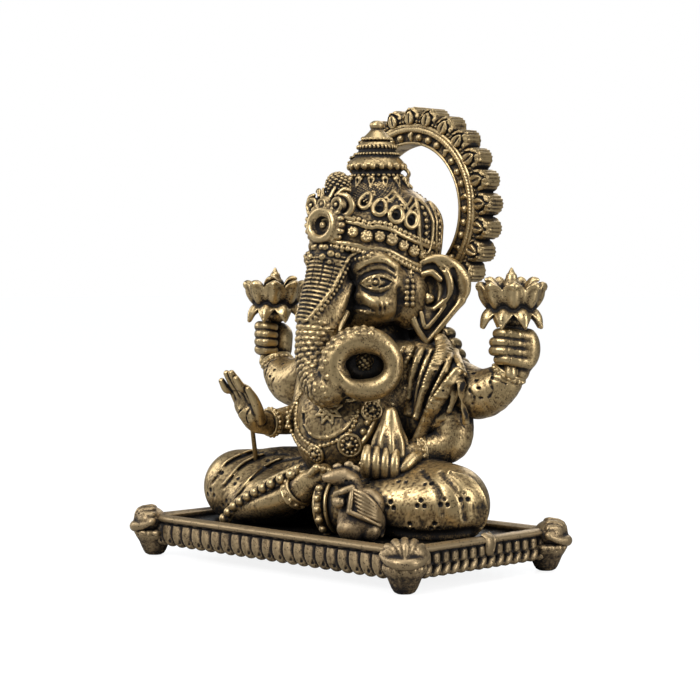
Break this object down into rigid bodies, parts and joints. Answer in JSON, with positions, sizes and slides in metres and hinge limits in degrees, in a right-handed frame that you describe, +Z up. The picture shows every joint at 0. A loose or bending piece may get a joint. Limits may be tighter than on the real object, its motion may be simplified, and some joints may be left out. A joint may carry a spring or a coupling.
{
  "type": "ganesha idol",
  "caption": "Small seated elephant-headed deity figure in cast brass with tall crown, petalled halo and four arms, on a footed rectangular tray.",
  "frame": {"origin": "centre of the tray's outline, on the surface that the four feet stand on", "axes": "+Z up; the figure faces -Y; +X is the figure's own left side"},
  "size_m": [0.0796, 0.0492, 0.091],
  "materials": {
    "body_brass": "antique, polished on the high points",
    "bright_brass": "antique, rubbed bright",
    "base_brass": "antique satin",
    "floor_brass": "dark patina, smooth",
    "dark_brass": "dark patina"
  },
  "bodies": {
    "root": {"tray_floor": "floor_brass", "front_rail": "base_brass", "back_rail": "base_brass", "left_rail": "base_brass", "right_rail": "base_brass", "rail_clasp": "base_brass", "foot_front_left": "base_brass", "foot_front_right": "base_brass", "foot_back_left": "base_brass", "foot_back_right": "base_brass", "shell_front_left": "base_brass", "shell_front_right": "base_brass", "shell_back_left": "base_brass", "shell_back_right": "base_brass", "torso": "body_brass", "right_leg": "body_brass", "left_leg": "body_brass", "right_foot": "body_brass", "right_hem_band": "bright_brass", "left_hem_band": "bright_brass", "anklet": "bright_brass", "head": "body_brass", "trunk": "body_brass", "tusk": "bright_brass", "left_ear": "body_brass", "right_ear": "body_brass", "earrings": "bright_brass", "laddu": "bright_brass", "crown_dome": "body_brass", "crown_band": "bright_brass", "crown_jewel": "bright_brass", "crown_tiers": "body_brass", "crown_finial": "bright_brass", "crown_scroll": "body_brass", "halo_band": "body_brass", "halo_petals": "body_brass", "halo_rope": "bright_brass", "halo_beads": "bright_brass", "halo_brackets": "dark_brass", "right_front_arm": "body_brass", "right_front_hand": "body_brass", "hand_pin": "dark_brass", "left_front_arm": "body_brass", "left_front_hand": "body_brass", "right_rear_arm": "body_brass", "right_rear_hand": "body_brass", "left_rear_arm": "body_brass", "left_rear_hand": "body_brass", "bracelets": "bright_brass", "right_lotus": "bright_brass", "left_lotus": "bright_brass", "modak": "bright_brass", "shoulder_shawl": "body_brass", "hair_locks": "dark_brass", "belly_garland": "bright_brass", "star_pendant": "bright_brass", "necklace_medallions": "bright_brass", "mouse": "body_brass", "mouse_saddle": "bright_brass"}
  },
  "joints": []
}
